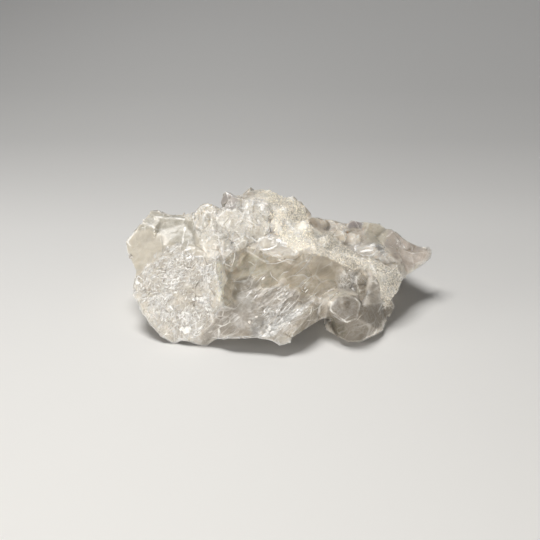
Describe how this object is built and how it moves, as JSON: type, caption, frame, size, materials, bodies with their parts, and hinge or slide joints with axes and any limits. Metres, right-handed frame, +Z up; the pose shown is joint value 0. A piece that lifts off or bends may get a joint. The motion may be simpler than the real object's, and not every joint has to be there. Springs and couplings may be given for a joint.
{
  "type": "quartz cluster",
  "caption": "Hand-sized cluster of milky rock crystal: broken faces and a clear hollow in front, short crystals over the crest and back.",
  "frame": {"origin": "middle of the cluster's box in X and Y, at the level of the surface it rests on", "axes": "+Z up, +X along the cluster towards its narrow end, +Y from the broken front towards the crystals on the back"},
  "size_m": [0.1015, 0.0666, 0.0361],
  "materials": {
    "quartz": "milky to clear, broken and crystal faces"
  },
  "bodies": {
    "root": {"quartz_cluster": "quartz"}
  },
  "joints": []
}
